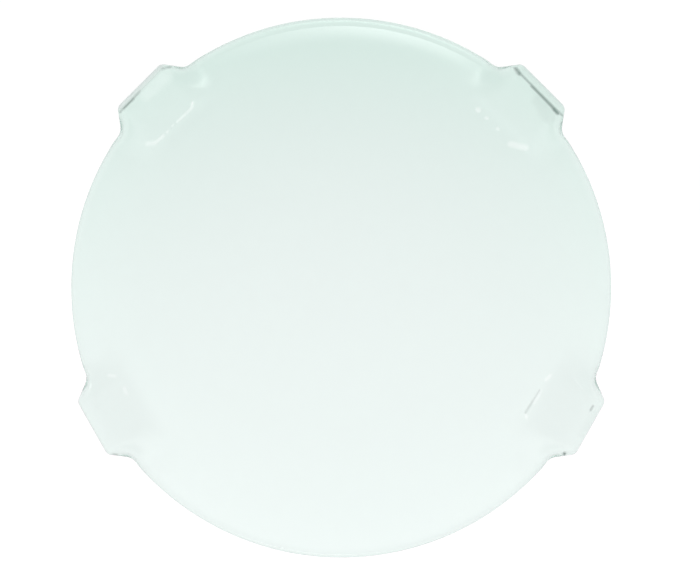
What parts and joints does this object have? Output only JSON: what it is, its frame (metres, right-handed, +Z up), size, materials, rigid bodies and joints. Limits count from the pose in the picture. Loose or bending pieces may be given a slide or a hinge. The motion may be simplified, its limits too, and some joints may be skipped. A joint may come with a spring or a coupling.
{
  "type": "watch glass",
  "caption": "Fluted watch glass: a shallow clear glass dish with a fire-polished rim and flat tabs pressed into it, used to cover a beaker or hold a small sample.",
  "frame": {"origin": "on the surface the dish stands on, under the middle of the dish", "axes": "+Z up, out of the dish's hollow; the plane X = 0 is a mirror plane, with two flutes at 45 degrees either side of +Y and two at 60.6 degrees either side of -Y"},
  "size_m": [0.0998, 0.1, 0.014],
  "materials": {
    "clear_glass": "clear, fire-polished, with a faint green tint that deepens where the glass is seen edge on"
  },
  "bodies": {
    "root": {"watch_glass": "clear_glass"}
  },
  "joints": []
}
